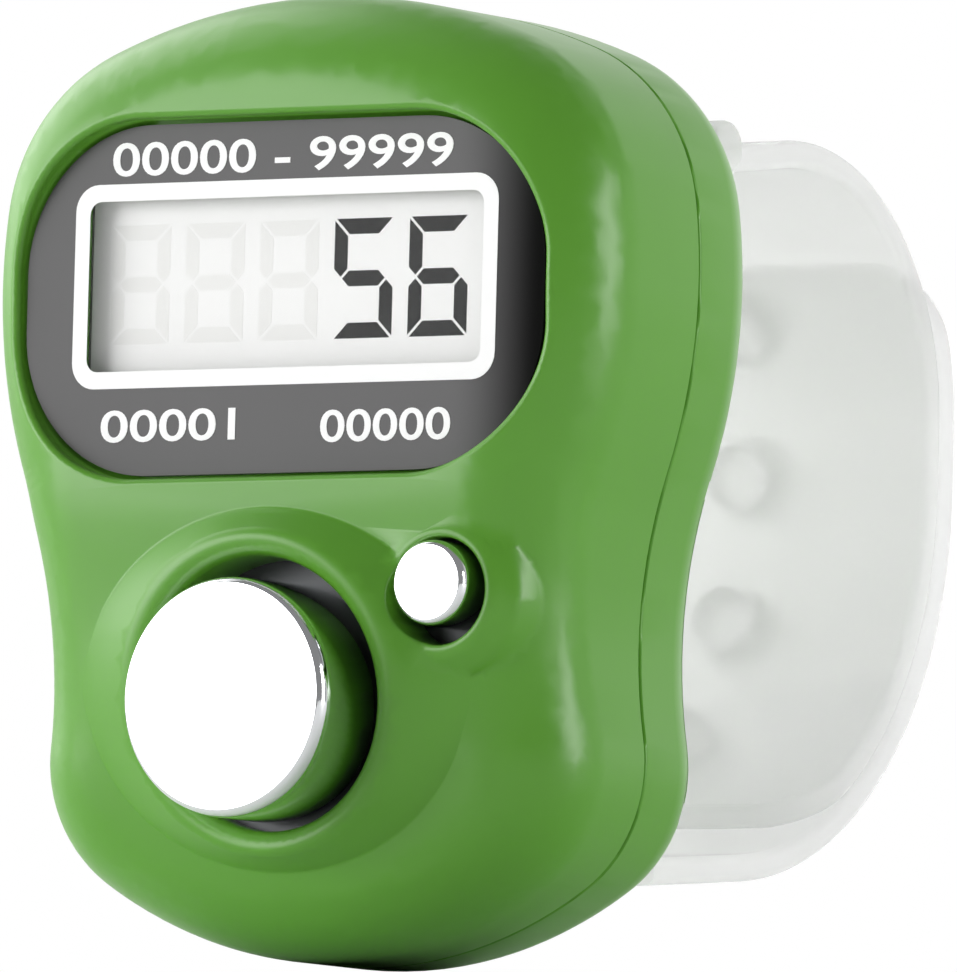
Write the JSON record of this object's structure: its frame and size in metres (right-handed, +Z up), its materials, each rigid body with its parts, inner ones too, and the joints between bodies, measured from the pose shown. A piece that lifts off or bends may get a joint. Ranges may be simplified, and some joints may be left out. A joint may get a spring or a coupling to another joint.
{
  "type": "finger tally counter",
  "caption": "Finger tally counter: pear-shaped shell case with a digital display, sprung count and reset buttons, a sliding battery cover and a soft adjustable finger strap.",
  "frame": {"origin": "middle of the overall width and depth, at the lowest point of the case", "axes": "+X to the viewer's right when facing the display, +Y from the display back towards the finger strap, +Z up through the display"},
  "size_m": [0.0302, 0.0406, 0.0395],
  "materials": {
    "green_case": "fine satin moulding",
    "panel_grey": "satin plate with pale printed frame",
    "window_clear": "polished clear pane",
    "lcd_glass": "polished",
    "polariser_film": "satin film",
    "reflector_film": "pale satin film",
    "holder_white": "plain moulding",
    "connector_rubber": "matte",
    "board_laminate": "solder mask",
    "chip_epoxy": "matte epoxy",
    "component_ceramic": "matte ceramic",
    "steel": "bright steel",
    "cell_steel": "bright nickelled steel",
    "chrome_plate": "mirror plating",
    "dome_silicone": "matte silicone",
    "carbon": "matte carbon rubber",
    "strap_soft": "translucent satin"
  },
  "bodies": {
    "case": {"front_shell": "green_case", "rear_shell": "green_case", "display_panel": "panel_grey", "display_window": "window_clear", "lcd_front_polariser": "polariser_film", "lcd_front_glass": "lcd_glass", "lcd_rear_glass": "lcd_glass", "lcd_reflector": "reflector_film", "lcd_holder": "holder_white", "zebra_strip": "connector_rubber", "circuit_board": "board_laminate", "controller_chip": "chip_epoxy", "crystal_can": "steel", "board_components": "component_ceramic", "board_screws": "steel", "case_screws": "steel", "count_dome": "dome_silicone", "reset_dome": "dome_silicone", "battery": "cell_steel", "battery_contact_negative": "steel", "battery_contact_positive": "steel", "strap_upper": "strap_soft", "strap_lower": "strap_soft"},
    "count_key": {"count_button": "chrome_plate", "count_pill": "carbon"},
    "reset_key": {"reset_button": "chrome_plate", "reset_pill": "carbon"},
    "cover": {"battery_cover": "green_case"}
  },
  "joints": [
    {"name": "count_press", "type": "slide", "parent": "case", "child": "count_key", "axis": [0, 1, 0], "range_m": [0, 0.0009], "stiffness_N_per_m": 900, "springref_m": -0.0008, "deforming": ["count_dome"]},
    {"name": "reset_press", "type": "slide", "parent": "case", "child": "reset_key", "axis": [0, 1, 0], "range_m": [0, 0.0006], "stiffness_N_per_m": 900, "springref_m": -0.0008, "deforming": ["reset_dome"]},
    {"name": "battery_cover_slide", "type": "slide", "parent": "case", "child": "cover", "axis": [1, 0, 0], "range_m": [0, 0.0205]}
  ]
}
